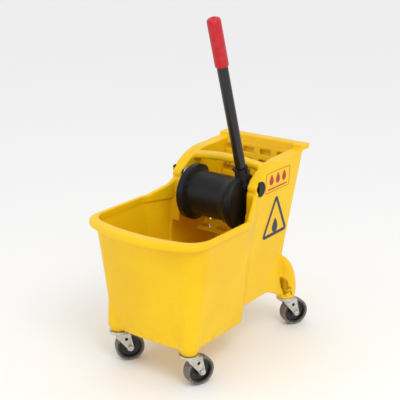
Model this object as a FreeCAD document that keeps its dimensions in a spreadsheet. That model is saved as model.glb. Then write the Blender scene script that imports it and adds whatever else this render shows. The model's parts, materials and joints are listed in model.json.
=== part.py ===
"""Janitor's mop bucket with a built-in down-press wringer, as a parametric FreeCAD document.

Frame: millimetres, +Z up, origin on the floor under the middle of the bucket's plan.
+X is the bucket's right-hand side, -Y its front (the open tub), +Y its back (the wringer).
Every driving size is a cell of the sheet "Sizes", and every sub-part is bound to those cells.
"""
import FreeCAD, Part
import math
import os
import re
from FreeCAD import Placement, Rotation, Vector
from Sketcher import Constraint

DOC = FreeCAD.newDocument("MopBucket")

SIZES = {
    # bucket plan: the tub is widest at its rim, the wringer end is narrower
    "front_lip": 279.0,            # front edge of the rim, forward of the origin
    "tub_rim_height": 362.0,
    "tub_floor_height": 91.0,
    "tub_floor_half": 122.0,
    "tub_rim_half": 160.0,
    "rim_half": 164.0,             # outside of the rolled rim
    "rim_depth": 17.0,
    "rim_inset": 12.0,             # rim's width from its outside to the tub's mouth
    "floor_front": 208.0,          # front corners of the floor
    "rim_front": 226.0,            # front corners of the rim
    "floor_bow": 10.0,             # how far the middle of the front stands out
    "rim_bow": 27.0,
    "shoulder_front": 40.0,        # where the sides start to draw in, forward of the origin
    "shoulder_back": 42.0,         # where they meet the wringer's walls
    "step_front": 11.0,            # front face of the step under the wringer
    "floor_corner": 24.0,
    "rim_corner": 58.0,
    "wall": 4.0,
    "corner_round": 6.0,
    # wringer housing
    "house_floor_height": 122.0,
    "house_floor_half": 114.0,
    "house_top_half": 128.0,
    "house_height": 467.0,
    "house_floor_back": 160.0,
    "house_top_back": 250.0,
    "house_start": 20.0,           # the housing's loft starts inside the tub
    "chute_half": 96.0,            # half the opening between the inner cheeks
    "cheek_bottom": 290.0,         # lower edge of the inner cheeks
    "cheek_front": 42.0,
    "back_rail_reach": 279.0,      # back edge of the top rail
    "back_rail_half": 126.0,
    "back_rail_depth": 14.0,
    "back_rail_top": 474.0,
    "back_rail_front": 240.0,
    # casters
    "front_caster_side": 105.0,
    "front_caster_forward": 196.0,
    "rear_caster_side": 112.0,
    "rear_caster_back": 204.0,
    "wheel_radius": 35.0,
    "tread_width": 25.0,
    "tread_depth": 6.5,
    "caster_trail": 25.0,
    "hub_width": 26.0,
    "hub_bore": 4.05,
    "axle_radius": 4.0,
    "fork_gap": 29.0,              # between the fork's legs
    "fork_sheet": 2.5,
    "fork_plate_height": 72.0,
    "fork_plate_radius": 20.6,
    "race_radius": 23.0,
    "race_sheet": 2.0,
    "ball_radius": 2.0,
    "ball_ring": 14.0,
    "stem_radius": 5.5,
    "stem_depth": 42.0,            # how far the stem goes up into its post
    "swivel_play": 0.08,
    "front_post_radius": 25.0,
    "post_foot": 18.0,             # radius of a front post where it meets its caster
    "post_foot_height": 16.0,
    "rear_pod_radius": 27.0,
    "rear_pod_apex": 204.0,
    "front_post_top": 140.0,
    # press, which turns on the cross shaft
    "pivot_back": 54.0,
    "pivot_height": 408.0,
    "shaft_radius": 6.0,
    "shaft_play": 0.08,
    "shaft_half": 127.5,
    "bush_radius": 11.0,
    "bush_flange_radius": 18.0,
    "bush_flange_sheet": 4.0,
    "drum_back": 54.0,
    "drum_height": 368.0,
    "drum_radius": 55.0,
    "flange_radius": 69.0,
    "drum_left": 75.0,
    "drum_right": 82.0,
    "left_flange_width": 20.0,
    "right_flange_width": 14.0,
    "drum_wall": 3.5,
    "press_hub_radius": 13.0,
    "spring_wire": 1.5,            # radius of the wire
    "spring_turns": 4.0,
    "press_cut_angle": 54.0,       # rear face of the press, below the horizontal through the shaft
    "press_cut_inner": 40.0,       # the cut that lets the press swing under the cross bar
    # lever
    "lever_side": 73.0,
    "lever_offset": 8.0,          # the lever's own axis passes this far behind the shaft
    "lever_lean": 17.5,
    "lever_radius": 12.7,
    "lever_wall": 1.6,
    "lever_foot": 14.0,            # lower end of the tube, above the shaft, along the lever
    "socket_top": 46.0,            # upper end of the socket, above the shaft, along the lever
    "socket_wall": 4.3,
    "lever_top": 420.0,            # top of the grip, above the shaft, along the lever
    "grip_length": 112.0,
    "grip_wall": 3.0,
    "lever_bolt_radius": 3.0,
    # cross bar and screen
    "bar_front": 88.0,
    "bar_width": 26.0,
    "bar_bottom": 437.0,
    "bar_depth": 17.0,
    "bar_crown": 8.0,              # how far the middle of the cross bar stands above its ends
    "screen_sheet": 4.0,
    "screen_half": 94.0,
    "screen_gap": 9.0,             # between the screen and the back wall
    "screen_top": 458.0,
    "screen_bend": 330.0,
    "slot_width": 32.0,
    "slot_height": 13.0,
    "slot_pitch_across": 51.0,
    "slot_pitch_down": 26.5,
    "screw_radius": 2.5,
    "screw_head": 4.5,
    "front_left_swivel": 50.0,
    "front_right_swivel": 68.0,
    "rear_left_swivel": 55.0,
    "rear_right_swivel": 60.0,
}

# heights and reaches that follow from the sizes above
DERIVED = {
    "mount_height": "fork_plate_height + fork_sheet + 2 * ball_radius + race_sheet",
    "seat_side": "shaft_half - bush_flange_sheet",
    "screen_clear": "wall + screen_gap",
    "leg_side": "fork_gap / 2 + fork_sheet",
    "grip_radius": "lever_radius + grip_wall",
    "socket_radius": "lever_radius + socket_wall",
    "hub_radius": "wheel_radius - tread_depth",
}

sheet = DOC.addObject("Spreadsheet::Sheet", "Sizes")
for row, (alias, size) in enumerate(SIZES.items(), start=1):
    sheet.set("A%d" % row, alias)
    sheet.set("B%d" % row, repr(size))
    sheet.setAlias("B%d" % row, alias)
DOC.recompute()

PARTS = []


def formula(text):
    """The text as a document expression, with each size name pointed at its cell."""
    def cell(word):
        name = word.group(0)
        if name in DERIVED:
            return "(" + formula(DERIVED[name]) + ")"
        return "Sizes." + name if name in SIZES else name
    return re.sub(r"[a-z]\w+", cell, str(text))


def size(text):
    """The present value of an expression in size names."""
    result = sheet.evalExpression(formula(text))
    return float(getattr(result, "Value", result))


def bind(item, **properties):
    for name, text in properties.items():
        item.setExpression(name, formula(text))
    return item


TURNS = {"Z": Rotation(), "X": Rotation(Vector(0, 1, 0), 90), "Y": Rotation(Vector(1, 0, 0), -90)}


def place(item, at, turn=Rotation()):
    """Put an item at a point given by three expressions, turned by a fixed rotation."""
    item.Placement = Placement(Vector(*[size(text) for text in at]), turn)
    for letter, text in zip("xyz", at):
        item.setExpression("Placement.Base." + letter, formula(text))
    return item


def cylinder(name, radius, length, at=(0, 0, 0), axis="Z"):
    item = bind(DOC.addObject("Part::Cylinder", name), Radius=radius, Height=length)
    return place(item, at, TURNS[axis])


def cone(name, low, high, length, at=(0, 0, 0), axis="Z"):
    item = bind(DOC.addObject("Part::Cone", name), Radius1=low, Radius2=high, Height=length)
    return place(item, at, TURNS[axis])


def ball(name, radius, at):
    return place(bind(DOC.addObject("Part::Sphere", name), Radius=radius), at)


def block(name, low, high):
    """A box between two corners, each given by three expressions."""
    spans = ["(%s) - (%s)" % (far, near) for near, far in zip(low, high)]
    item = bind(DOC.addObject("Part::Box", name), Length=spans[0], Width=spans[1], Height=spans[2])
    return place(item, low)


PLANES = {
    "XY": Rotation(),
    "YZ": Rotation(Vector(1, 1, 1), 120),
    "XZ": Rotation(Vector(1, 0, 0), 90),
}


def sketch(name, points, arcs=None, plane="XY", at=(0, 0, 0)):
    """A closed outline through points given as pairs of expressions.

    arcs maps a point's index to the radius expression and side of the arc that leaves it: +1
    bulges to the right of the way from that point to the next one, and -1 to the left.
    """
    arcs = arcs or {}
    item = DOC.addObject("Sketcher::SketchObject", name)
    place(item, at, PLANES[plane])
    corners = [Vector(size(across), size(up), 0) for across, up in points]
    count = len(corners)
    starts = [2 if index in arcs and arcs[index][1] < 0 else 1 for index in range(count)]
    for index, start in enumerate(corners):
        end = corners[(index + 1) % count]
        if index in arcs:
            radius, side = arcs[index]
            item.addGeometry(bulge(start, end, size(radius), side), False)
        else:
            item.addGeometry(Part.LineSegment(start, end), False)
    for index, (across, up) in enumerate(points):
        before = (index - 1) % count
        item.addConstraint(Constraint("Coincident", before, 3 - starts[before], index, starts[index]))
        for kind, text in (("DistanceX", across), ("DistanceY", up)):
            number = item.addConstraint(Constraint(kind, -1, 1, index, starts[index], size(text)))
            item.setExpression("Constraints[%d]" % number, formula(text))
    for index, (text, side) in arcs.items():
        number = item.addConstraint(Constraint("Radius", index, size(text)))
        item.setExpression("Constraints[%d]" % number, formula(text))
    return item


def bulge(start, end, radius, side):
    """The minor arc between two points, bulging to one side of the way."""
    way = end - start
    outward = Vector(way.y, -way.x, 0).normalize() * side
    rise = radius - math.sqrt(radius ** 2 - (way.Length / 2) ** 2)
    return Part.Arc(start, (start + end) * 0.5 + outward * rise, end)


def loft(name, *sections, straight=True):
    item = DOC.addObject("Part::Loft", name)
    item.Sections = list(sections)
    item.Solid = True
    item.Ruled = straight
    return item


def prism(name, outline, length):
    """An outline drawn out along its own normal."""
    item = DOC.addObject("Part::Extrusion", name)
    item.Base = outline
    item.DirMode = "Normal"
    item.Solid = True
    return bind(item, LengthFwd=length)


def fuse(name, *items):
    item = DOC.addObject("Part::MultiFuse", name)
    item.Shapes = list(items)
    item.Refine = False
    return item


def common(name, *items):
    item = DOC.addObject("Part::MultiCommon", name)
    item.Shapes = list(items)
    return item


def cut(name, base, *tools):
    """The base less the tools."""
    item = DOC.addObject("Part::Cut", name)
    item.Base = base
    item.Tool = tools[0] if len(tools) == 1 else fuse(name + "_tools", *tools)
    item.Refine = False
    return item


def carve(name, base, *tools):
    """The base less the tools, taken away one after another."""
    for number, tool in enumerate(tools, start=1):
        last = number == len(tools)
        base = cut(name if last else "%s_%d" % (name, number), base, tool)
    return base


def fillet(name, base, radii, wanted):
    """Round the edges that wanted picks; radii are the sizes at an edge's two ends."""
    DOC.recompute()
    low, high = [size(text) for text in radii]
    chosen = [number for number, edge in enumerate(base.Shape.Edges, start=1) if wanted(edge)]
    item = DOC.addObject("Part::Fillet", name)
    item.Base = base
    item.Edges = [(number, low, high) for number in chosen]
    return item


def part(label, item):
    item.Label = label
    PARTS.append(item)
    return item


# ---------------------------------------------------------------- bucket body

def bow(half, rise):
    """Radius of an arc of a given half chord and rise."""
    return "((%s)^2 + (%s)^2) / (2 * (%s))" % (half, rise, rise)


def tub_outline(name, height, half, front, rise, shoulder, back):
    """The tub's plan at one height: a bowed front, straight sides and a shoulder on each side."""
    points = [
        ("-(%s)" % half, "-(%s)" % front),
        (half, "-(%s)" % front),
        (half, shoulder),
        back,
        ("-(%s)" % back[0], back[1]),
        ("-(%s)" % half, shoulder),
    ]
    return sketch(name, points, {0: (bow(half, rise), 1)}, at=(0, 0, height))


def rectangle(name, height, half, front, back):
    left = "-(%s)" % half
    return sketch(name, [(left, front), (half, front), (half, back), (left, back)], at=(0, 0, height))


def front_corner(edge):
    """An upright edge at the front of the tub."""
    ends = [vertex.Point for vertex in edge.Vertexes]
    return len(ends) == 2 and abs(ends[0].z - ends[1].z) > 10 and max(end.y for end in ends) < -150


def tub_size(low, high, height):
    """A size of the tub at a height, from what it is at the floor and at the rim."""
    share = "(%s - tub_floor_height) / (tub_rim_height - tub_floor_height)" % height
    return "(%s + (%s - (%s)) * (%s))" % (low, high, low, share)


def tub_shell(name, inset, floor, top):
    """The tub's block between two heights, drawn in from the outside by an inset."""
    sections = []
    for level, height in (("low", floor), ("high", top)):
        sections.append(tub_outline(
            name + "_" + level, height,
            tub_size("tub_floor_half", "tub_rim_half", height) + " - " + inset,
            tub_size("floor_front", "rim_front", height) + " - " + inset,
            tub_size("floor_bow", "rim_bow", height),
            tub_size("-step_front", "-shoulder_front", height) + " - " + inset,
            (tub_size("house_floor_half", "house_top_half", height) + " - " + inset,
             tub_size("0", "shoulder_back", height) + " - " + inset)))
    square = loft(name + "_square", *sections)
    return fillet(name, square, ("floor_corner", "rim_corner"), front_corner)


def house_side(height):
    """Half width outside the housing at a height."""
    return ("(house_floor_half + (house_top_half - house_floor_half)"
            " * (%s - house_floor_height) / (house_height - house_floor_height))" % height)


def house_back(height):
    return ("(house_floor_back + (house_top_back - house_floor_back)"
            " * (%s - house_floor_height) / (house_height - house_floor_height))" % height)


CREST = [
    ("-shoulder_front", "tub_rim_height - 4"),
    ("16", "tub_rim_height + 17"),
    ("50", "house_height - 43"),
    ("160", "house_height - 7"),
    ("back_rail_reach + 20", "house_height"),
]


def crest_region(name, drop, side, above):
    """The space above, or under, the housing's S-shaped top edge, across the whole width."""
    points = [(across, "%s - (%s)" % (up, drop)) for across, up in CREST]
    edge = "house_height + 90" if above else "house_floor_height - 60"
    points += [(CREST[-1][0], edge), (CREST[0][0], edge)]
    outline = sketch(name + "_outline", points, {1: ("50", 1), 2: ("160", -1)}, "YZ", ("-(%s)" % side, 0, 0))
    return prism(name, outline, "2 * (%s)" % side)


POD_RINGS = [                      # share of the height, share of the radius, lean out and back
    (0.0, 0.86, 0.0, 0.0),
    (0.22, 1.0, 0.0, -2.0),
    (0.55, 0.86, 3.0, -9.0),
    (0.82, 0.58, 5.0, -21.0),
    (1.0, 0.22, 3.0, -36.0),
]


def pod(name, side, inset, bottom, top):
    """A rear caster's housing: a bullet that grows out of the back corner."""
    rings = []
    for number, (rise, share, across, back) in enumerate(POD_RINGS):
        ring = DOC.addObject("Part::Circle", "%s_ring_%d" % (name, number))
        bind(ring, Radius="rear_pod_radius * %s - %s * (1 - %s / 2)" % (share, inset, rise))
        place(ring, ("%s * (rear_caster_side + %s)" % (side, across), "rear_caster_back + %s" % back,
                     "%s + ((%s) - (%s)) * %s" % (bottom, top, bottom, rise)))
        rings.append(ring)
    return loft(name, *rings, straight=False)


def pod_web(name, side):
    """The wall that carries a rear caster's housing back to the floor."""
    outline = sketch(name + "_outline", [
        ("house_floor_back - 48", "house_floor_height + 2"),
        ("rear_caster_back - 12", "mount_height + 3"),
        ("rear_caster_back", "mount_height + 3"),
        ("rear_caster_back - 6", "mount_height + 60"),
        ("rear_caster_back - 34", "rear_pod_apex - 10"),
        ("house_floor_back - 10", "rear_pod_apex - 10")],
        plane="YZ", at=("%s * (rear_caster_side - 6) - 12" % side, 0, 0))
    return prism(name, outline, "24")


def gusset(name, number):
    """A thin rib under the cross bar, which slopes down to the back."""
    outline = sketch(name + "_outline", [
        ("bar_front + 10", "bar_bottom + bar_crown + 4"),
        ("bar_front + bar_width - 3", "bar_bottom - 10"),
        ("bar_front + bar_width", "bar_bottom - 10"),
        ("bar_front + bar_width", "bar_bottom + bar_crown + 4")],
        plane="YZ", at=("%d * (chute_half - 6) / 2 - 1" % number, 0, 0))
    return prism(name, outline, "2")


def bush_flange(name, side, sheet_):
    """The D-shaped flange of a shaft bush, flat towards the front."""
    start = "seat_side" if side > 0 else "-seat_side - (%s)" % sheet_
    disc = cylinder(name + "_disc", "bush_flange_radius", sheet_,
                    (start, "pivot_back", "pivot_height"), "X")
    flat = block(name + "_flat",
                 (start + " - 5", "pivot_back - 30", "pivot_height - 30"),
                 (start + " + 20", "pivot_back - bush_flange_radius * 0.4", "pivot_height + 30"))
    return cut(name, disc, flat)


def screen_front(height):
    """The front face of the screen's upright part, at a height."""
    return house_back("(%s)" % height) + " - screen_clear - screen_sheet"


LUG_RADIUS = "(screw_head + 1.5)"
LUG_STEP = (LUG_RADIUS + " * (house_top_back - house_floor_back)"
            " / (house_height - house_floor_height)")
SCREW_SPOTS = [("%d * (screen_half - 10)" % side, height)
               for side in (-1, 1) for height in ("screen_top - 58", "screen_bend + 10")]


def caster_spots():
    """Each caster's name, place and swivel angle."""
    for end, across, along in (("front", "front_caster_side", "-front_caster_forward"),
                               ("rear", "rear_caster_side", "rear_caster_back")):
        for letter, side in (("left", "-1"), ("right", "1")):
            name = "%s_%s" % (end, letter)
            yield name, (side + " * " + across, along, "0"), size(name + "_swivel")


def bucket_body():
    tub = tub_shell("tub_outside", "0", "tub_floor_height", "(tub_rim_height - rim_depth / 2)")

    rim_outline = tub_outline("rim_outline", "tub_rim_height - rim_depth", "rim_half",
                              "rim_front + 6", "front_lip - rim_front - 6",
                              "-shoulder_front", ("house_top_half - 4", "shoulder_back"))
    rim_block = prism("rim_block", rim_outline, "rim_depth")
    rim_cornered = fillet("rim_cornered", rim_block, ("rim_corner", "rim_corner"), front_corner)
    rim = fillet("rim", rim_cornered, ("corner_round", "corner_round"), lambda edge: (
        edge.BoundBox.ZLength < 0.1 and edge.BoundBox.YMax < 60
        and edge.BoundBox.YMin < -size("shoulder_front")))

    house_block = loft("house_block", *[
        rectangle("house_" + level, height, house_side(height), "-house_start", house_back(height))
        for level, height in (("low", "house_floor_height"), ("high", "back_rail_top"))])
    house_cornered = fillet("house_cornered", house_block, ("rim_corner / 4", "rim_corner / 4"),
                            lambda edge: edge.BoundBox.ZLength > 100 and edge.BoundBox.YMin > 100)
    shoulder_outline = sketch("shoulder_outline", [
        ("-rim_half + 2", "-shoulder_front"),
        ("rim_half - 2", "-shoulder_front"),
        (house_side("tub_rim_height") + " + 1", "shoulder_back"),
        (house_side("tub_rim_height") + " + 1", "shoulder_back + 20"),
        ("-" + house_side("tub_rim_height") + " - 1", "shoulder_back + 20"),
        ("-" + house_side("tub_rim_height") + " - 1", "shoulder_back")],
        at=(0, 0, "tub_rim_height - rim_depth"))
    shoulder = prism("shoulder", shoulder_outline, "rim_depth + 70")
    walls = fuse("house_walls", house_cornered, shoulder)
    house = cut("house_outside", walls, crest_region("above_crest", "0", "rim_half", True))

    rail = block("rail_block",
                 ("-back_rail_half", "back_rail_front", "back_rail_top - back_rail_depth"),
                 ("back_rail_half", "back_rail_reach", "back_rail_top"))
    rail_round = fillet("rail", rail, ("corner_round", "corner_round"), lambda edge: (
        edge.BoundBox.YMin > size("back_rail_reach") - 1 or edge.BoundBox.ZLength > 5))

    posts = []
    pods = []
    ribs = []
    hollows = []
    bores = []
    cores = []
    for name, (across, along, _), _ in caster_spots():
        foot = (across, along, "mount_height")
        cores.append(cylinder(name + "_core", "stem_radius + 6", "stem_depth + 2 * wall", foot))
        bores.append(cylinder(name + "_bore", "stem_radius", "stem_depth", foot))
        if name.startswith("front"):
            knee = (across, along, "mount_height + post_foot_height")
            posts.append(cone(name + "_foot", "post_foot", "front_post_radius", "post_foot_height", foot))
            posts.append(cone(name + "_boss", "front_post_radius", "front_post_radius - 5",
                              "front_post_top + 60 - mount_height - post_foot_height", knee))
        else:
            side = "-1" if name.endswith("left") else "1"
            pods.append(pod(name + "_pod", side, "0", "mount_height", "rear_pod_apex"))
            pods.append(pod_web(name + "_web", side))
            spread = "(rear_pod_radius - 6)"
            ribs.append(block(name + "_rib",
                              (across + " - " + spread, along + " - 1.5", "mount_height"),
                              (across + " + " + spread, along + " + 1.5", "mount_height + 40")))
            hollows.append(pod(name + "_pod_hollow", side, "wall", "mount_height - 1",
                               "rear_pod_apex - 60"))

    outside = fuse("bucket_outside", tub, rim, house, rail_round, *(posts + pods))

    hollow_low = tub_shell("tub_hollow", "wall", "tub_floor_height + wall", "tub_rim_height - rim_depth")
    mouth_low = tub_outline("mouth_low", "tub_rim_height - rim_depth",
                            "tub_rim_half - 4 - wall", "rim_front - wall - 4", "rim_bow",
                            "-shoulder_front - wall", ("house_top_half - 14", "shoulder_back - wall"))
    mouth_high = tub_outline("mouth_high", "tub_rim_height + 80",
                             "rim_half - rim_inset", "rim_front - 12", "rim_bow + 11",
                             "-shoulder_front", ("house_top_half - 14", "shoulder_back - wall"))
    mouth = fillet("mouth", loft("mouth_block", mouth_low, mouth_high),
                   ("rim_corner - 6", "rim_corner - 6"), front_corner)

    room_low = rectangle("room_low", "house_floor_height + wall",
                         house_side("(house_floor_height + wall)") + " - wall",
                         "-house_start - 20", house_back("(house_floor_height + wall)") + " - wall")
    room_high = rectangle("room_high", "cheek_bottom", house_side("cheek_bottom") + " - wall",
                          "-house_start - 20", house_back("cheek_bottom") + " - wall")
    room = loft("room", room_low, room_high)

    chute_outline = sketch("chute_outline", [
        ("-house_start - 20", "cheek_bottom - 1"),
        (house_back("(cheek_bottom - 1)") + " - wall", "cheek_bottom - 1"),
        (house_back("(house_height + 60)") + " - wall", "house_height + 60"),
        ("-house_start - 20", "house_height + 60")], plane="YZ", at=("-chute_half", 0, 0))
    chute = prism("chute", chute_outline, "2 * chute_half")

    pockets = []
    under = crest_region("under_crest", "wall + 1.5", "rim_half", False)
    for letter, side in (("left", "-1"), ("right", "1")):
        sections = []
        for level, height in (("low", "cheek_bottom - 1"), ("high", "house_height + 4")):
            near = "%s * (chute_half + wall)" % side
            far = "%s * (%s - wall)" % (side, house_side("(%s)" % height))
            back = house_back("(%s)" % height) + " - wall"
            sections.append(sketch("pocket_%s_%s" % (letter, level), [
                (near, "cheek_front + 4"), (far, "cheek_front + 4"), (far, back), (near, back)],
                at=(0, 0, height)))
        pockets.append(common("pocket_" + letter, loft("pocket_block_" + letter, *sections), under))

    hollow = carve("bucket_hollow", outside, hollow_low, mouth, room, chute, *(pockets + hollows))

    reach = "(chute_half + wall / 2)"
    crown = bow(reach, "bar_crown")
    bar_outline = sketch("bar_outline", [
        ("-" + reach, "bar_bottom"),
        (reach, "bar_bottom"),
        (reach, "bar_bottom + bar_depth"),
        ("-" + reach, "bar_bottom + bar_depth")], {0: (crown, -1), 2: (crown, 1)},
        plane="XZ", at=(0, "bar_front + bar_width", 0))
    bar = fillet("bar", prism("bar_straight", bar_outline, "bar_width"), ("corner_round", "corner_round"),
                 lambda edge: (edge.BoundBox.XLength > 100
                               and edge.BoundBox.YMax < size("bar_front") + 1))
    gussets = [gusset("gusset_%d" % number, number) for number in range(-2, 3)]
    bosses = []
    for letter, start in (("left", "-seat_side"), ("right", "chute_half + 1")):
        bosses.append(cylinder("bush_boss_" + letter, "bush_radius + wall",
                               "seat_side - chute_half - 1", (start, "pivot_back", "pivot_height"), "X"))
        bores.append(cylinder("bush_bore_" + letter, "bush_radius", "60",
                              (start + " - 20", "pivot_back", "pivot_height"), "X"))
    lugs = [cylinder("screw_lug_%d" % number, LUG_RADIUS, "screen_gap + 0.5", (
        across, screen_front(height) + " + screen_sheet + " + LUG_STEP, height), "Y")
        for number, (across, height) in enumerate(SCREW_SPOTS)]
    bores += [cylinder("screw_hole_%d" % number, "screw_radius", "screen_gap", (
        across, screen_front(height), height), "Y")
        for number, (across, height) in enumerate(SCREW_SPOTS)]
    solid = fuse("bucket_solid", hollow, bar, *(gussets + bosses + cores + ribs + lugs))
    seats = [bush_flange("bush_seat_" + letter, side, "8") for letter, side in (("left", -1), ("right", 1))]
    part("bucket_body", carve("bucket_body", solid, *(bores + seats)))


# ---------------------------------------------------------------- wringer screen

def wringer_screen():
    bottom = "house_floor_height + wall"
    front = [
        (screen_front("screen_top"), "screen_top"),
        (screen_front("screen_bend"), "screen_bend"),
        ("150", "screen_bend - 54"),
        ("96", "screen_bend - 76"),
    ]
    back = [(across + " + screen_sheet", up + (" - screen_sheet" if number > 1 else ""))
            for number, (across, up) in enumerate(front)]
    outline = sketch("screen_outline", front + back[::-1], plane="YZ", at=("-screen_half", 0, 0))
    panel = prism("screen_panel", outline, "2 * screen_half")
    legs = []
    for number in (-1, 1):
        leg = sketch("leg_outline_%d" % number, [
            ("104", "screen_bend - 78"), ("120", "screen_bend - 71"), ("140", bottom), ("126", bottom)],
            plane="YZ", at=("%d * 34 - 2" % number, 0, 0))
        legs.append(prism("screen_leg_%d" % number, leg, "4"))
    slots = []
    for column in (-1.5, -0.5, 0.5, 1.5):
        middle = "%s * slot_pitch_across" % column
        near = middle + " - slot_width / 2"
        far = middle + " + slot_width / 2"
        for step in range(4):
            top = "screen_top - 9 - %d * slot_pitch_down" % step
            slots.append(block("slot_%s_%d" % (column, step),
                               (near, "190", top + " - slot_height"), (far, "250", top)))
        for step in range(3):
            along = "108 + %d * slot_pitch_down" % step
            slots.append(block("drain_%s_%d" % (column, step),
                               (near, along, "screen_bend - 90"),
                               (far, along + " + slot_height", "screen_bend - 20")))
    holes = [cylinder("screen_hole_%d" % number, "screw_radius", "40", (
        across, screen_front(height) + " - 20", height), "Y")
        for number, (across, height) in enumerate(SCREW_SPOTS)]
    part("wringer_screen", cut("wringer_screen", fuse("screen_whole", panel, *legs), *(slots + holes)))

    screws = []
    for number, (across, height) in enumerate(SCREW_SPOTS):
        face = screen_front(height)
        shank = cylinder("screw_shank_%d" % number, "screw_radius", "screen_sheet + 6",
                         (across, face + " - 1.5", height), "Y")
        head = cylinder("screw_head_%d" % number, "screw_head", "2.5",
                        (across, face + " - 4", height), "Y")
        screws.append(fuse("screw_%d" % number, shank, head))
    group = DOC.addObject("Part::Compound", "screen_screws")
    group.Links = screws
    part("screen_screws", group)


# ---------------------------------------------------------------- press

def drum_turning(name, inset):
    """The drum's turned shape: a thick left flange, a waist and a flared right flange."""
    wide = "flange_radius - " + inset
    slim = "drum_radius - " + inset
    left = "-drum_left + " + inset
    right = "drum_right - " + inset
    profile = sketch(name + "_profile", [
        (left, "0"),
        (right, "0"),
        (right, wide + " - 5"),
        (right + " - 5", wide),
        (right + " - right_flange_width", wide),
        (right + " - right_flange_width - 30", slim),
        ("-drum_left + left_flange_width + 5", slim),
        ("-drum_left + left_flange_width", wide),
        (left + " + 5", wide),
        (left, wide + " - 5")], {4: ("52", -1)})
    turning = DOC.addObject("Part::Revolution", name)
    turning.Source = profile
    turning.Axis = Vector(1, 0, 0)
    turning.Angle = 360
    turning.Solid = True
    return place(turning, (0, "drum_back", "drum_height"))


def polar(radius, angle):
    """A point at a radius and an angle up from +Y about the shaft."""
    return ("pivot_back + (%s) * cos(%s)" % (radius, angle),
            "pivot_height + (%s) * sin(%s)" % (radius, angle))


def press_drum():
    shell = cut("drum_shell", drum_turning("drum_outside", "0"), drum_turning("drum_inside", "drum_wall"))
    sweep = sketch("swing_outline", [
        polar("8", "-press_cut_angle"),
        polar("190", "-press_cut_angle"),
        polar("190", "0"),
        polar("190", "54"),
        polar("8", "54")], plane="YZ", at=("-chute_half", 0, 0))
    keep = cylinder("swing_keep", "press_cut_inner", "2 * chute_half + 4",
                    ("-chute_half - 2", "pivot_back", "pivot_height"), "X")
    opened = cut("drum_open", shell, cut("swing", prism("swing_wedge", sweep, "2 * chute_half"), keep))
    hub = cylinder("press_hub", "press_hub_radius", "2 * chute_half - 5",
                   ("-chute_half + 2.5", "pivot_back", "pivot_height"), "X")
    solid = fuse("press_solid", opened, hub, lever_round("socket", "socket_radius", "0", "socket_top"))
    bore = cylinder("press_bore", "shaft_radius", "2 * chute_half",
                    ("-chute_half", "pivot_back", "pivot_height"), "X")
    well = lever_round("socket_well", "lever_radius", "lever_foot", "socket_top + 5")
    part("press_drum", cut("press_drum", solid, bore, well, lever_cross("bolt_way", "lever_bolt_radius",
                                                                       "-socket_radius - 9",
                                                                       "socket_radius + 9")))
    plate_slab = block("plate_slab", ("-chute_half", "press_cut_inner", "-drum_wall"),
                       ("chute_half", "150", "0"))
    plate = common("press_back_plate", drum_turning("drum_room", "drum_wall"),
                   turned_about_shaft(plate_slab, "-press_cut_angle"))
    part("press_back_plate", plate)
    part("press_shaft", cylinder("press_shaft", "shaft_radius", "2 * (shaft_half - 6)",
                                 ("-shaft_half + 6", "pivot_back", "pivot_height"), "X"))


def turned_about_shaft(item, angle):
    """The item, drawn about the origin, in the frame on the shaft."""
    holder = DOC.addObject("Part::Compound", item.Name + "_turned")
    holder.Links = [item]
    return place(holder, (0, "pivot_back", "pivot_height"), Rotation(Vector(1, 0, 0), size(angle)))


def lever_round(name, radius, low, high):
    """A cylinder on the lever's axis, between two heights along the lever above the shaft."""
    item = cylinder(name + "_straight", radius, "(%s) - (%s)" % (high, low),
                    ("lever_side", "lever_offset", low))
    return turned_about_shaft(item, "lever_lean")


def lever_cross(name, radius, start, end):
    """A cylinder across the lever, level, at the height of its bolt."""
    item = cylinder(name + "_straight", radius, "(%s) - (%s)" % (end, start),
                    ("lever_side + (%s)" % start, "lever_offset", "socket_top - 9"), "X")
    return turned_about_shaft(item, "lever_lean")


def lever():
    tube = lever_round("tube_outside", "lever_radius", "lever_foot", "lever_top - grip_wall - 2")
    bore = lever_round("tube_bore", "lever_radius - lever_wall", "lever_foot - 2", "lever_top")
    way = lever_cross("tube_way", "lever_bolt_radius", "-30", "30")
    part("lever_tube", cut("lever_tube", tube, bore, way))

    grip_block = lever_round("grip_block", "grip_radius", "lever_top - grip_length", "lever_top")
    DOC.recompute()
    top = max(vertex.Point.z for vertex in grip_block.Shape.Vertexes)
    grip_round = fillet("grip_round", grip_block, ("grip_radius / 2", "grip_radius / 2"),
                        lambda edge: edge.BoundBox.ZMax > top - 1 and len(edge.Vertexes) == 1)
    hold = lever_round("grip_hold", "lever_radius", "lever_top - grip_length - 1",
                       "lever_top - grip_wall - 2")
    hang = lever_round("grip_end_hole", "lever_radius / 4", "lever_top - 20", "lever_top + 1")
    part("handle_grip", cut("handle_grip", grip_round, hold, hang))

    shank = lever_cross("bolt_shank", "lever_bolt_radius", "-socket_radius - 5", "socket_radius + 1")
    head = lever_cross("bolt_head", "lever_bolt_radius * 1.8", "socket_radius", "socket_radius + 4")
    part("lever_bolt", fuse("lever_bolt", shank, head))
    nut = lever_cross("nut_block", "lever_bolt_radius * 1.8", "-socket_radius - 5", "-socket_radius")
    part("lever_nut", cut("lever_nut", nut, lever_cross("nut_way", "lever_bolt_radius", "-40", "0")))


def shaft_bushes():
    for letter, side in (("left", -1), ("right", 1)):
        start = "-seat_side" if side < 0 else "chute_half - 2"
        sleeve = cylinder("bush_sleeve_" + letter, "bush_radius", "seat_side - chute_half + 2",
                          (start, "pivot_back", "pivot_height"), "X")
        bore_start = "-shaft_half + 5" if side < 0 else "chute_half - 6"
        bore = cylinder("bush_way_" + letter, "shaft_radius + shaft_play", "shaft_half - chute_half + 1",
                        (bore_start, "pivot_back", "pivot_height"), "X")
        flange = bush_flange("bush_flange_" + letter, side, "bush_flange_sheet")
        bush = fuse("bush_" + letter, sleeve, flange)
        part("shaft_bush_" + letter, cut("shaft_bush_" + letter, bush, bore))


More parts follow.
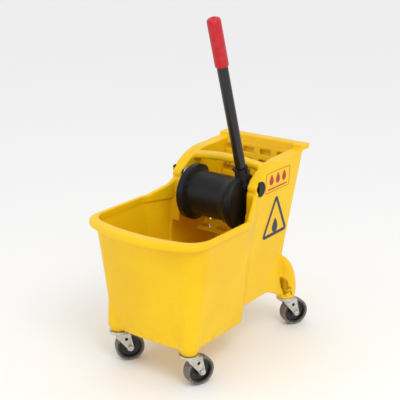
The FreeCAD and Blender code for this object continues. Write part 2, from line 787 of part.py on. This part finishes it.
def return_spring():
    """A coil on the press hub, in the gap between the drum's left face and the left bush."""
    length = "(chute_half - drum_left - 4 * spring_wire - 1.4)"
    around = "press_hub_radius + 2 * spring_wire"
    coil = DOC.addObject("Part::Helix", "spring_coil")
    bind(coil, Pitch=length + " / spring_turns", Height=length, Radius=around)
    wire = DOC.addObject("Part::Circle", "spring_wire")
    bind(wire, Radius="spring_wire")
    place(wire, (around, 0, 0), Rotation(Vector(1, 0, 0), 90))
    sweep = DOC.addObject("Part::Sweep", "return_spring")
    sweep.Sections = [wire]
    sweep.Spine = (coil, ["Edge1"])
    sweep.Solid = True
    sweep.Frenet = True
    place(sweep, ("-chute_half + 5", "pivot_back", "pivot_height"), TURNS["X"])
    part("return_spring", sweep)


# ---------------------------------------------------------------- casters

def caster(name, at, angle):
    """One swivel caster, drawn about its swivel axis with the wheel trailing along +X."""
    turn = Rotation(Vector(0, 0, 1), angle)

    def done(label, item):
        part(name + "_" + label, place(item, at, turn))

    def disc(label, radius, low, high):
        return cylinder("%s_%s" % (name, label), radius, "(%s) - (%s)" % (high, low), (0, 0, low))

    plate_top = "fork_plate_height + fork_sheet"
    race_floor = plate_top + " + 2 * ball_radius"
    stem = disc("stem_shank", "stem_radius", "fork_plate_height - 2.5", "mount_height + stem_depth")
    head = disc("stem_head", "stem_radius + 3", "fork_plate_height - 2.5", "fork_plate_height - 0.3")
    race = disc("race", "race_radius", plate_top + " + 0.3", "mount_height")
    room = disc("race_room", "race_radius - race_sheet", plate_top, race_floor)
    cup = cut(name + "_cup", race, room)
    done("stem", fuse(name + "_stem", stem, head, cup))

    balls = []
    for number in range(10):
        spot = 36 * number
        balls.append(ball("%s_ball_%d" % (name, number), "ball_radius",
                          ("ball_ring * cos(%d)" % spot, "ball_ring * sin(%d)" % spot,
                           plate_top + " + ball_radius")))
    ring = DOC.addObject("Part::Compound", name + "_balls")
    ring.Links = balls
    done("balls", ring)

    plate = disc("plate", "fork_plate_radius", "fork_plate_height", plate_top)
    web = block(name + "_web", ("-10", "-leg_side", "fork_plate_height"),
                ("caster_trail", "leg_side", plate_top))
    legs = []
    for letter, start in (("near", "leg_side"), ("far", "-fork_gap / 2")):
        outline = sketch("%s_leg_%s" % (name, letter), [
            ("-10", plate_top), ("-10", "fork_plate_height - 5"),
            ("caster_trail - 8", "wheel_radius"), ("caster_trail + 8", "wheel_radius"),
            ("caster_trail", plate_top)], plane="XZ", at=(0, start, 0))
        sheet_leg = prism("%s_leg_sheet_%s" % (name, letter), outline, "fork_sheet")
        end = cylinder("%s_leg_end_%s" % (name, letter), "8", "fork_sheet",
                       ("caster_trail", start + " - fork_sheet", "wheel_radius"), "Y")
        legs += [sheet_leg, end]
    pin_way = cylinder(name + "_pin_way", "axle_radius", "3 * fork_gap",
                       ("caster_trail", "-1.5 * fork_gap", "wheel_radius"), "Y")
    light_way = cylinder(name + "_light_way", "4", "3 * fork_gap",
                         ("caster_trail * 0.62", "-1.5 * fork_gap", "wheel_radius + 24"), "Y")
    stem_way = disc("stem_way", "stem_radius + swivel_play", "fork_plate_height - 1", plate_top + " + 1")
    done("fork", cut(name + "_fork", fuse(name + "_fork_solid", plate, web, *legs),
                     pin_way, light_way, stem_way))

    def round_(label, radius, start, end):
        return cylinder("%s_%s" % (name, label), radius, "(%s) - (%s)" % (end, start),
                        ("caster_trail", start, "wheel_radius"), "Y")

    axle = round_("axle_shank", "axle_radius", "-leg_side - 1", "leg_side + 6")
    axle_head = round_("axle_head", "axle_radius + 2.5", "-leg_side - 4", "-leg_side")
    done("axle", fuse(name + "_axle", axle, axle_head))
    nut = round_("nut_block", "axle_radius + 2.5", "leg_side", "leg_side + 5")
    done("axle_nut", cut(name + "_axle_nut", nut, round_("nut_way", "axle_radius", "0", "40")))

    hub = round_("hub_barrel", "hub_radius * 0.42", "-hub_width / 2", "hub_width / 2")
    hub_web = round_("hub_web", "hub_radius", "-tread_width * 0.16", "tread_width * 0.16")
    hub_rim = round_("hub_rim", "hub_radius", "-tread_width * 0.45", "tread_width * 0.45")
    hub_rim_room = round_("hub_rim_room", "hub_radius - 4", "-tread_width", "tread_width")
    hub_solid = fuse(name + "_hub_solid", hub, hub_web, cut(name + "_hub_ring", hub_rim, hub_rim_room))
    done("hub", cut(name + "_hub", hub_solid, round_("hub_bore", "hub_bore", "-40", "40")))

    tread_block = round_("tread_block", "wheel_radius", "-tread_width / 2", "tread_width / 2")
    tread_round = fillet(name + "_tread_round", tread_block, ("corner_round", "corner_round"),
                         lambda edge: len(edge.Vertexes) == 1)
    done("tyre", cut(name + "_tyre", tread_round, round_("tread_room", "hub_radius", "-40", "40")))


def check_document():
    """Stop if any object failed, or any sub-part has no sound shape."""
    for item in DOC.Objects:
        if "Invalid" in item.State or "Error" in item.State:
            raise RuntimeError("%s is %s" % (item.Name, item.State))
    for item in PARTS:
        if item.Shape.isNull() or not item.Shape.isValid() or not item.Shape.Solids:
            raise RuntimeError("%s has no sound shape" % item.Label)


bucket_body()
wringer_screen()
press_drum()
lever()
shaft_bushes()
return_spring()
for spot_name, spot_at, spot_angle in caster_spots():
    caster(spot_name, spot_at, spot_angle)
DOC.recompute()
check_document()

os.makedirs("parts", exist_ok=True)
for item in PARTS:
    item.Shape.exportStep("parts/%s.step" % item.Label)
    bounds = item.Shape.BoundBox
    print("%-24s %2d solids %10.1f mm3  x %7.1f %7.1f  y %7.1f %7.1f  z %7.1f %7.1f" % (
        item.Label, len(item.Shape.Solids), item.Shape.Volume, bounds.XMin, bounds.XMax,
        bounds.YMin, bounds.YMax, bounds.ZMin, bounds.ZMax))
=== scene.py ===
"""A wheeled mop bucket with a built-in press wringer: its looks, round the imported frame."""
import json
import math

import bpy
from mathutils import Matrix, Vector


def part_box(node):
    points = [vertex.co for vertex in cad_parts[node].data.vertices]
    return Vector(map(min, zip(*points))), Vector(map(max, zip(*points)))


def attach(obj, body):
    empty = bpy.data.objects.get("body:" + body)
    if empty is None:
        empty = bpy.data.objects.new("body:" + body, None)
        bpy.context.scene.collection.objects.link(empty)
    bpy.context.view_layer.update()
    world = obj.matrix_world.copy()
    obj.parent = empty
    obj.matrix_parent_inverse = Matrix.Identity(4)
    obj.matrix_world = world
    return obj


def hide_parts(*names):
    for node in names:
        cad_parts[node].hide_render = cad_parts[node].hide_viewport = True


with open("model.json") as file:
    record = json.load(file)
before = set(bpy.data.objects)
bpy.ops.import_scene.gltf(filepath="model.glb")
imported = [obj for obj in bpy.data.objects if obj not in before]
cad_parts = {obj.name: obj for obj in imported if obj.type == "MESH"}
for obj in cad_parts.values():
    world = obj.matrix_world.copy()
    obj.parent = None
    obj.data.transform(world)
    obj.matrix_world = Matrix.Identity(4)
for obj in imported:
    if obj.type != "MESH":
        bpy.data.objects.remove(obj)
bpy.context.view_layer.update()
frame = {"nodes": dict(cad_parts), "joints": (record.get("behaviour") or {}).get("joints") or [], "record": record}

MM = 0.001
NODES = frame["nodes"]
CORNERS = ("front_left", "front_right", "rear_left", "rear_right")
SLOTS = {entry["node"]: entry["material_slot"] for entry in frame["record"]["subparts"]}
JOINTS = {joint["name"]: joint for joint in frame["joints"]}
HEIGHT = 2                              # number of the upright axis
COLOUR_SOCKETS = (0, 6, 7)              # a colour mix's share, first colour and second colour
COLOUR_RESULT = 2


# ---------------------------------------------------------------- shader arithmetic

class Signal:
    """A shader socket that takes part in arithmetic: each operator adds its Math node."""

    def __init__(self, finish, socket):
        self.finish = finish
        self.socket = socket

    def math(self, operation, *values):
        return self.finish.node("ShaderNodeMath", {"operation": operation}, *values)

    def __add__(self, other):
        return self.math("ADD", self, other)

    def __radd__(self, other):
        return self.math("ADD", other, self)

    def __sub__(self, other):
        return self.math("SUBTRACT", self, other)

    def __rsub__(self, other):
        return self.math("SUBTRACT", other, self)

    def __mul__(self, other):
        return self.math("MULTIPLY", self, other)

    def __rmul__(self, other):
        return self.math("MULTIPLY", other, self)

    def rise(self, low, high):
        """0 below low, 1 above high, and smooth between them."""
        return self.finish.node("ShaderNodeMapRange", {"interpolation_type": "SMOOTHSTEP"},
                                self, low, high, 0.0, 1.0)


class Finish:
    """One procedural material on the Principled shader."""

    def __init__(self, name, **constants):
        self.material = bpy.data.materials.new(name)
        self.material.use_nodes = True
        self.tree = self.material.node_tree
        self.shader = self.tree.nodes["Principled BSDF"]
        for socket, value in constants.items():
            self.shader.inputs[socket.replace("_", " ")].default_value = value
        self.place = self.node("ShaderNodeTexCoord", output="Object")

    def node(self, kind, settings=None, *values, output=0, **named):
        """A node of a kind, with its settings, and its sockets fed in order or by name."""
        made = self.tree.nodes.new(kind)
        for key, value in (settings or {}).items():
            setattr(made, key, value)
        for socket, value in zip(made.inputs, values):
            self.feed(socket, value)
        for key, value in named.items():
            self.feed(made.inputs[key.replace("_", " ")], value)
        return Signal(self, made.outputs[output])

    def feed(self, socket, value):
        if isinstance(value, Signal):
            self.tree.links.new(value.socket, socket)
        elif value is not None:
            socket.default_value = value

    def noise(self, size, detail=3.0, roughness=0.55, stretch=None):
        """Noise with features of a size in metres, drawn out along an axis if stretch says so."""
        at = self.place
        if stretch:
            at = self.node("ShaderNodeMapping", None, self.place, Scale=stretch)
        return self.node("ShaderNodeTexNoise", None, Vector=at, Scale=1 / size, Detail=detail,
                         Roughness=roughness)

    def axis(self, number):
        return self.node("ShaderNodeSeparateXYZ", None, self.place, output=number)

    def mix(self, share, first, second):
        """A colour between two, each a tuple or another colour signal."""
        made = self.tree.nodes.new("ShaderNodeMix")
        made.data_type = "RGBA"
        for number, value in zip(COLOUR_SOCKETS, (share, first, second)):
            self.feed(made.inputs[number], value)
        return Signal(self, made.outputs[COLOUR_RESULT])

    def bump(self, height, depth, under=None):
        """A bump of a depth in metres, over another one."""
        return self.node("ShaderNodeBump", None, Strength=1.0, Distance=depth, Height=height, Normal=under)

    def convex_edge_mask(self, low, high):
        """1 along convex edges, from the surface's own curvature."""
        return self.node("ShaderNodeNewGeometry", output="Pointiness").rise(low, high)

    def use(self, **sockets):
        for socket, value in sockets.items():
            self.feed(self.shader.inputs[socket.replace("_", " ")], value)
        return self.material


def rgb(red, green, blue):
    return (red, green, blue, 1.0)


# ---------------------------------------------------------------- finishes

def yellow_finish():
    """Moulded polypropylene: fine grain, sink ripples, soft scuffs, grime low down and a painted highlight along
    convex edges.
    """
    finish = Finish("yellow_moulded", IOR=1.47, Specular_IOR_Level=0.28)
    cloud = finish.noise(0.20, 2.0)
    mottle = finish.noise(0.014, 5.0)
    body = finish.mix(cloud.rise(0.35, 0.65), rgb(0.87, 0.52, 0.002), rgb(0.92, 0.58, 0.004))
    body = finish.mix(mottle.rise(0.45, 0.75) * 0.16, body, rgb(0.78, 0.44, 0.002))
    scuff = finish.noise(0.004, 6.0, 0.7, (1, 1, 0.12)).rise(0.66, 0.74)
    body = finish.mix(scuff * 0.16, body, rgb(0.95, 0.70, 0.10))
    low = 1 - finish.axis(HEIGHT).rise(75 * MM, 150 * MM)
    grime = low * finish.noise(0.022, 6.0, 0.65).rise(0.46, 0.72) * 0.22
    body = finish.mix(grime, body, rgb(0.34, 0.21, 0.03))
    # painted highlight: convex edges are mixed towards a lighter yellow, as if light caught them
    edge_highlight = finish.convex_edge_mask(0.53, 0.60)
    body = finish.mix(edge_highlight * 0.22, body, rgb(0.98, 0.74, 0.10))
    grain = finish.noise(0.0011, 2.0)
    ripple = finish.noise(0.06, 1.0)
    surface = finish.bump(grain, 0.00005, finish.bump(ripple, 0.0008))
    return finish.use(Base_Color=body, Roughness=0.32 + mottle * 0.10 + scuff * 0.18 + grime * 0.4,
                      Normal=surface)


def black_moulded_finish():
    """Black moulded plastic with a fine grain and greyer rubbed patches."""
    finish = Finish("black_moulded", IOR=1.5, Specular_IOR_Level=0.25)
    rubbed = finish.noise(0.03, 5.0).rise(0.5, 0.8)
    scratch = finish.noise(0.0025, 5.0, 0.7, (0.08, 1, 1)).rise(0.66, 0.73)
    body = finish.mix(rubbed * 0.5, rgb(0.0055, 0.0055, 0.006), rgb(0.014, 0.014, 0.0145))
    body = finish.mix(scratch * 0.35, body, rgb(0.045, 0.045, 0.046))
    grain = finish.noise(0.0009, 2.0)
    return finish.use(Base_Color=body, Roughness=0.34 + rubbed * 0.14 + grain * 0.08,
                      Normal=finish.bump(grain, 0.00006))


def black_paint_finish():
    """Powder coat on steel, with its orange peel and a few dull rubs."""
    finish = Finish("black_powder_coat", IOR=1.5)
    peel = finish.noise(0.0022, 1.5)
    rub = finish.noise(0.018, 5.0, 0.6, (1, 1, 0.25)).rise(0.55, 0.8)
    body = finish.mix(rub * 0.5, rgb(0.0055, 0.0055, 0.006), rgb(0.016, 0.016, 0.0165))
    return finish.use(Base_Color=body, Roughness=0.26 + rub * 0.2 + peel * 0.05,
                      Normal=finish.bump(peel, 0.00005))


def red_finish():
    """Soft vinyl, matt in the hollows and polished by hands."""
    finish = Finish("red_vinyl", IOR=1.48)
    blotch = finish.noise(0.014, 4.0)
    body = finish.mix(blotch.rise(0.35, 0.7), rgb(0.46, 0.004, 0.012), rgb(0.62, 0.008, 0.018))
    grain = finish.noise(0.0009, 2.0)
    return finish.use(Base_Color=body, Roughness=0.34 + blotch * 0.2, Normal=finish.bump(grain, 0.00008))


def zinc_finish():
    """Bright zinc plate on pressed steel: faint spangle, fine draw marks and dull spots."""
    finish = Finish("zinc_plate", Metallic=1.0)
    spangle = finish.node("ShaderNodeTexVoronoi", {"feature": "F1"}, Vector=finish.place, Scale=420.0)
    cloud = finish.noise(0.009, 4.0)
    draw = finish.noise(0.0009, 3.0, 0.6, (1, 1, 0.07))
    body = finish.mix(cloud.rise(0.35, 0.7), rgb(0.50, 0.49, 0.46), rgb(0.74, 0.73, 0.69))
    body = finish.mix(spangle * 0.35, body, rgb(0.44, 0.43, 0.40))
    spot = finish.noise(0.004, 5.0).rise(0.62, 0.74)
    body = finish.mix(spot * 0.5, body, rgb(0.28, 0.26, 0.23))
    return finish.use(Base_Color=body, Roughness=0.24 + cloud * 0.16 + spot * 0.25,
                      Normal=finish.bump(draw, 0.00003))


def tread_finish():
    """Grey non-marking rubber with floor dust worked into it."""
    finish = Finish("grey_tread", IOR=1.48)
    dust = finish.noise(0.006, 5.0)
    body = finish.mix(dust.rise(0.35, 0.7), rgb(0.125, 0.108, 0.094), rgb(0.215, 0.192, 0.172))
    fleck = finish.noise(0.0012, 4.0).rise(0.62, 0.72)
    body = finish.mix(fleck * 0.5, body, rgb(0.055, 0.047, 0.041))
    grain = finish.noise(0.0007, 3.0)
    return finish.use(Base_Color=body, Roughness=0.50 + dust * 0.25, Normal=finish.bump(grain, 0.0001))


def hub_finish():
    """Glossy black wheel centre with mould flow lines."""
    finish = Finish("wheel_hub_black", IOR=1.5)
    flow = finish.noise(0.01, 4.0)
    body = finish.mix(flow.rise(0.4, 0.75), rgb(0.006, 0.006, 0.006), rgb(0.018, 0.017, 0.016))
    grain = finish.noise(0.0009, 2.0)
    return finish.use(Base_Color=body, Roughness=0.24 + flow * 0.2, Normal=finish.bump(grain, 0.00005))


def ink_finish(name, deep, pale):
    """Printed ink, slightly uneven over the grain of the plastic."""
    finish = Finish(name, IOR=1.48)
    cover = finish.noise(0.006, 5.0)
    body = finish.mix(cover.rise(0.4, 0.7), deep, pale)
    grain = finish.noise(0.0011, 2.0)
    return finish.use(Base_Color=body, Roughness=0.34 + cover * 0.12, Normal=finish.bump(grain, 0.00004))


# ---------------------------------------------------------------- mesh helpers

SEAM = 0.005 * MM                       # vertices closer than this are one


def alone(piece):
    """Make a piece the only one selected, and the active one."""
    bpy.ops.object.select_all(action="DESELECT")
    piece.select_set(True)
    bpy.context.view_layer.objects.active = piece


def apply(piece, kind, **settings):
    alone(piece)
    modifier = piece.modifiers.new(kind.title(), kind)
    for key, value in settings.items():
        setattr(modifier, key, value)
    bpy.ops.object.modifier_apply(modifier=modifier.name)


def edit(piece):
    alone(piece)
    bpy.ops.object.mode_set(mode="EDIT")
    bpy.ops.mesh.select_all(action="SELECT")


def done():
    bpy.ops.object.mode_set(mode="OBJECT")


def settle(piece):
    """Bring a piece's place, turn and size into its mesh."""
    alone(piece)
    bpy.ops.object.transform_apply(location=True, rotation=True, scale=True)


def smooth(piece, angle=40):
    alone(piece)
    bpy.ops.object.shade_smooth_by_angle(angle=math.radians(angle))
    return piece


def twin(node, name):
    """A separate copy of a node's mesh, with its seams merged."""
    piece = NODES[node].copy()
    piece.data = piece.data.copy()
    piece.name = name
    piece.parent = None
    bpy.context.collection.objects.link(piece)
    for key in list(piece.keys()):
        if key.startswith("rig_"):
            del piece[key]
    edit(piece)
    bpy.ops.mesh.remove_doubles(threshold=SEAM)
    done()
    return piece


def moulded(node, name, grid, passes, most):
    """Stand-in for a node on a grid, with its edges rounded all over and at most so many triangles."""
    piece = twin(node, name)
    apply(piece, "REMESH", mode="VOXEL", voxel_size=grid, adaptivity=0.0)
    apply(piece, "SMOOTH", factor=0.5, iterations=passes)
    faces = 2 * len(piece.data.polygons)
    if faces > most:
        apply(piece, "DECIMATE", ratio=most / faces)
    return smooth(piece, 50)


def eased(node, name, width):
    """Stand-in for a node, with its sharp edges broken by a narrow bevel."""
    piece = twin(node, name)
    apply(piece, "DECIMATE", decimate_type="DISSOLVE", angle_limit=math.radians(0.6))
    apply(piece, "BEVEL", width=width, segments=2, limit_method="ANGLE", angle_limit=math.radians(35))
    return smooth(piece)


def coat(piece, material):
    piece.data.materials.clear()
    piece.data.materials.append(material)


def stand_in(piece, node, body):
    """Put a piece in a node's place: on its body, in its slot and in its finish."""
    slot = SLOTS[node]
    coat(piece, FINISHES[slot])
    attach(piece, body)
    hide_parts(node)


# ---------------------------------------------------------------- stage

LENS = 82.9                             # both in millimetres, as on a camera
SENSOR = 36.0
LIGHTS_AIM = (0, 0, 0.25)


def camera(azimuth, elevation, distance, target):
    """Look at a point from an azimuth (0 looks along +Y) and an elevation, in degrees."""
    turn, rise = math.radians(azimuth), math.radians(elevation)
    back = Vector((math.sin(turn) * math.cos(rise), -math.cos(turn) * math.cos(rise), math.sin(rise)))
    data = bpy.data.cameras.new("camera")
    data.lens = LENS
    data.sensor_width = SENSOR
    item = bpy.data.objects.new("camera", data)
    bpy.context.collection.objects.link(item)
    item.location = target + back * distance
    item.rotation_euler = back.to_track_quat("Z", "Y").to_euler()
    bpy.context.scene.camera = item


def area_light(name, place, width, power):
    """A square soft light, turned to the bucket."""
    data = bpy.data.lights.new(name, "AREA")
    data.shape = "RECTANGLE"
    data.size = width
    data.size_y = width
    data.energy = power
    item = bpy.data.objects.new(name, data)
    bpy.context.collection.objects.link(item)
    item.location = place
    item.rotation_euler = (Vector(place) - Vector(LIGHTS_AIM)).to_track_quat("Z", "Y").to_euler()


def studio():
    """A pale floor, a white surround and two soft lights."""
    bpy.ops.mesh.primitive_plane_add(size=16, location=(0, 0, 0))
    floor = bpy.context.object
    floor.name = "floor"
    finish = Finish("floor_paper")
    cloud = finish.noise(0.6, 2.0)
    paper = finish.mix(cloud, rgb(0.93, 0.93, 0.93), rgb(0.95, 0.95, 0.95))
    floor.data.materials.append(finish.use(Base_Color=paper, Roughness=0.7 + cloud * 0.1))
    settle(floor)
    bpy.context.scene.view_settings.view_transform = "Standard"
    world = bpy.data.worlds.new("studio")
    bpy.context.scene.world = world
    world.use_nodes = True
    sky = world.node_tree.nodes["Background"]
    sky.inputs["Color"].default_value = rgb(1, 1, 1)
    sky.inputs["Strength"].default_value = 0.90
    area_light("key", place=(1.5, -0.9, 2.2), width=1.1, power=18)
    area_light("fill", place=(-1.3, -2.3, 1.3), width=1.4, power=3)


# ---------------------------------------------------------------- the CAD nodes' own finishes

FINISHES = {
    "yellow_plastic": yellow_finish(),
    "black_plastic": black_moulded_finish(),
    "black_paint": black_paint_finish(),
    "red_vinyl": red_finish(),
    "grey_tread": tread_finish(),
    "wheel_hub": hub_finish(),
    "zinc_steel": zinc_finish(),
}
for node, slot in SLOTS.items():
    coat(NODES[node], FINISHES[slot])
    smooth(NODES[node], 35)


# ---------------------------------------------------------------- rounded and eased parts

BODY_GRID = 2.2 * MM
SCREEN_GRID = 1.4 * MM

stand_in(moulded("bucket_body", "bucket_moulding", BODY_GRID, passes=5, most=190000),
         "bucket_body", "bucket")
stand_in(moulded("wringer_screen", "screen_moulding", SCREEN_GRID, passes=3, most=120000),
         "wringer_screen", "bucket")
stand_in(eased("press_drum", "press_casting", 0.7 * MM), "press_drum", "press")
for corner in CORNERS:
    bodies = {"fork": corner + "_swivel", "axle": corner + "_swivel", "stem": "bucket",
              "hub": corner + "_wheel"}
    for label, body in bodies.items():
        node = "%s_%s" % (corner, label)
        stand_in(eased(node, node + "_eased", 0.5 * MM), node, body)
stand_in(eased("handle_grip", "grip_sleeve", 1.2 * MM), "handle_grip", "press")
stand_in(eased("lever_bolt", "lever_bolt_eased", 0.6 * MM), "lever_bolt", "press")


# ---------------------------------------------------------------- wheels

def radius_of(node):
    """The radius of a wheel's node, which stands upright."""
    low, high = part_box(node)
    return (high.z - low.z) / 2


TYRE_RADIUS = radius_of("front_left_tyre")
HUB_RADIUS = radius_of("front_left_hub")
TYRE_WIDTH = 25 * MM
LINE_HALF = 0.4 * MM                    # half the moulding line round the middle of the tread
GROOVE_NEAR = 3.4 * MM                  # the grooves' edges, from the middle of the tread
GROOVE_FAR = 4.6 * MM
GROOVE_DEPTH = 0.9 * MM
SHOULDER = 4.5 * MM
NUT_RADIUS = 6.4 * MM
NUT_HEIGHT = 5 * MM
NUT_RING = 1.9 * MM                     # flat ring round the nut's hollow
NUT_SLOPE = 0.5 * MM
NUT_HOLLOW = 0.9 * MM
NUT_EASE = 0.45 * MM
LEG_SIDE = 17 * MM                      # outer face of a fork's leg, from the wheel's middle


def pick(piece, kind, wanted):
    """Select just the polygons or vertices that wanted picks, in edit mode."""
    done()
    for group in (piece.data.vertices, piece.data.edges, piece.data.polygons):
        for item in group:
            item.select = False
    for item in getattr(piece.data, kind):
        item.select = wanted(item)
    bpy.ops.object.mode_set(mode="EDIT")


def model_tyre():
    """A solid tyre about Z: rounded shoulders, a moulding line and a groove either side of it."""
    bpy.ops.mesh.primitive_cylinder_add(vertices=80, radius=TYRE_RADIUS, depth=TYRE_WIDTH)
    tyre = bpy.context.object
    edit(tyre)
    bpy.ops.mesh.select_mode(type="FACE")
    pick(tyre, "polygons", lambda face: abs(face.normal.z) > 0.9)
    bpy.ops.mesh.inset(thickness=TYRE_RADIUS - HUB_RADIUS)
    bpy.ops.mesh.bridge_edge_loops()
    for height in (-GROOVE_FAR, -GROOVE_NEAR, -LINE_HALF, LINE_HALF, GROOVE_NEAR, GROOVE_FAR):
        bpy.ops.mesh.select_all(action="SELECT")
        bpy.ops.mesh.bisect(plane_co=(0, 0, height), plane_no=(0, 0, 1))
    for low, high in ((GROOVE_NEAR, GROOVE_FAR), (-GROOVE_FAR, -GROOVE_NEAR)):
        pick(tyre, "polygons", lambda face: (low < face.center.z < high
                                             and face.center.xy.length > TYRE_RADIUS - 1 * MM))
        bpy.ops.transform.shrink_fatten(value=-GROOVE_DEPTH)
    done()
    apply(tyre, "BEVEL", width=SHOULDER, segments=5, limit_method="ANGLE", angle_limit=math.radians(70))
    return smooth(tyre, 35)


def model_nut():
    """A closed hexagon nut about Z, with eased edges and a shallow hollow in its top."""
    bpy.ops.mesh.primitive_cylinder_add(vertices=6, radius=NUT_RADIUS, depth=NUT_HEIGHT)
    nut = bpy.context.object
    edit(nut)
    bpy.ops.mesh.select_mode(type="FACE")
    pick(nut, "polygons", lambda face: face.normal.z > 0.9)
    bpy.ops.mesh.inset(thickness=NUT_RING)
    bpy.ops.mesh.inset(thickness=NUT_SLOPE)
    bpy.ops.transform.translate(value=(0, 0, -NUT_HOLLOW))
    done()
    apply(nut, "BEVEL", width=NUT_EASE, segments=2, limit_method="ANGLE", angle_limit=math.radians(40))
    return smooth(nut)


def copy_to(model, name, centre, axis):
    """A copy of a model drawn about Z, with its own mesh, turned to an axis at a centre."""
    piece = model.copy()
    piece.data = model.data.copy()
    piece.name = name
    bpy.context.collection.objects.link(piece)
    piece.rotation_mode = "QUATERNION"
    piece.rotation_quaternion = axis.to_track_quat("Z", "Y")
    piece.location = centre
    settle(piece)
    return piece


tyre_model = model_tyre()
nut_model = model_nut()
for corner in CORNERS:
    joint = JOINTS[corner + "_wheel_spin"]
    centre, axis = Vector(joint["pos_m"]), Vector(joint["axis"]).normalized()
    stand_in(copy_to(tyre_model, corner + "_tread", centre, axis), corner + "_tyre", corner + "_wheel")
    outside = centre + axis * (LEG_SIDE + NUT_HEIGHT / 2)
    stand_in(copy_to(nut_model, corner + "_hex_nut", outside, axis), corner + "_axle_nut",
             corner + "_swivel")
for model in (tyre_model, nut_model):
    bpy.data.objects.remove(model)


# ---------------------------------------------------------------- printed marks on the right-hand wall

navy = ink_finish("ink_navy", rgb(0.012, 0.014, 0.045), rgb(0.022, 0.025, 0.065))
crimson = ink_finish("ink_crimson", rgb(0.42, 0.006, 0.02), rgb(0.55, 0.012, 0.03))
PRINT = 0.4 * MM                        # thickness of the print
WALL_FOOT_SIDE = 114 * MM
WALL_FOOT_HEIGHT = 122 * MM
WALL_LEAN = math.atan2(14, 345)         # 14 mm outwards over the wall's height of 345 mm


def outline_shape(vertices, width, height, corner, line=0):
    """A flat outline with rounded corners, about the origin: filled, or open inside a line's width."""
    bpy.ops.mesh.primitive_circle_add(vertices=vertices, radius=1, fill_type="NGON")
    shape = bpy.context.object
    if vertices == 4:
        shape.rotation_euler.z = math.radians(45)
    settle(shape)
    low = Vector(map(min, *[point.co for point in shape.data.vertices]))
    high = Vector(map(max, *[point.co for point in shape.data.vertices]))
    shape.scale = (width / (high.x - low.x), height / (high.y - low.y), 1)
    settle(shape)
    edit(shape)
    bpy.ops.mesh.bevel(offset=corner, segments=6, affect="VERTICES")
    if line:
        bpy.ops.mesh.select_mode(type="FACE")
        bpy.ops.mesh.inset(thickness=line)
        bpy.ops.mesh.delete(type="FACE")
    done()
    return shape


def drop_shape(radius):
    """A water drop, drawn flat about the origin."""
    bpy.ops.mesh.primitive_circle_add(vertices=40, radius=radius, fill_type="NGON")
    drop = bpy.context.object
    edit(drop)
    bpy.ops.mesh.select_mode(type="VERT")
    pick(drop, "vertices", lambda vertex: vertex.co.y > 0.98 * radius)
    bpy.ops.transform.translate(value=(0, 0.95 * radius, 0), use_proportional_edit=True,
                                proportional_edit_falloff="SHARP", proportional_size=1.5 * radius)
    done()
    return drop


def print_on_wall(shape, name, along, height, material):
    """Give a flat shape the thickness of print, and lay it on the leaning right-hand wall."""
    apply(shape, "SOLIDIFY", thickness=PRINT, offset=0.0)
    shape.name = name
    shape.rotation_euler = (math.radians(90), 0, math.radians(90))
    settle(shape)
    shape.rotation_euler = (0, WALL_LEAN, 0)
    rise = height - WALL_FOOT_HEIGHT
    shape.location = (WALL_FOOT_SIDE + rise * math.tan(WALL_LEAN) + PRINT, along, height)
    settle(shape)
    shape.data.materials.append(material)
    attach(shape, "bucket")


SIGN_ALONG = 128 * MM                   # middles of the sign and the badge, back from the origin
BADGE_ALONG = 129 * MM
DROP_PITCH = 28 * MM

print_on_wall(outline_shape(3, 114 * MM, 107 * MM, corner=14 * MM, line=8 * MM), "sign_outline",
              SIGN_ALONG, 308 * MM, navy)
print_on_wall(drop_shape(12 * MM), "sign_drop", SIGN_ALONG, 292 * MM, navy)
print_on_wall(outline_shape(4, 106 * MM, 50 * MM, corner=4 * MM, line=0.9 * MM), "badge_outline",
              BADGE_ALONG, 414 * MM, crimson)
for number in (1, 2, 3):
    print_on_wall(drop_shape(8.5 * MM), "badge_drop_%d" % number,
                  BADGE_ALONG + DROP_PITCH * (number - 2), 415 * MM, crimson)
print_on_wall(outline_shape(4, 84 * MM, 3 * MM, corner=1.4 * MM), "badge_line",
              BADGE_ALONG, 397 * MM, crimson)


# ---------------------------------------------------------------- picture

studio()
camera(azimuth=36.6, elevation=18.3, distance=2.2, target=Vector((-0.013, 0.004, 0.368)))
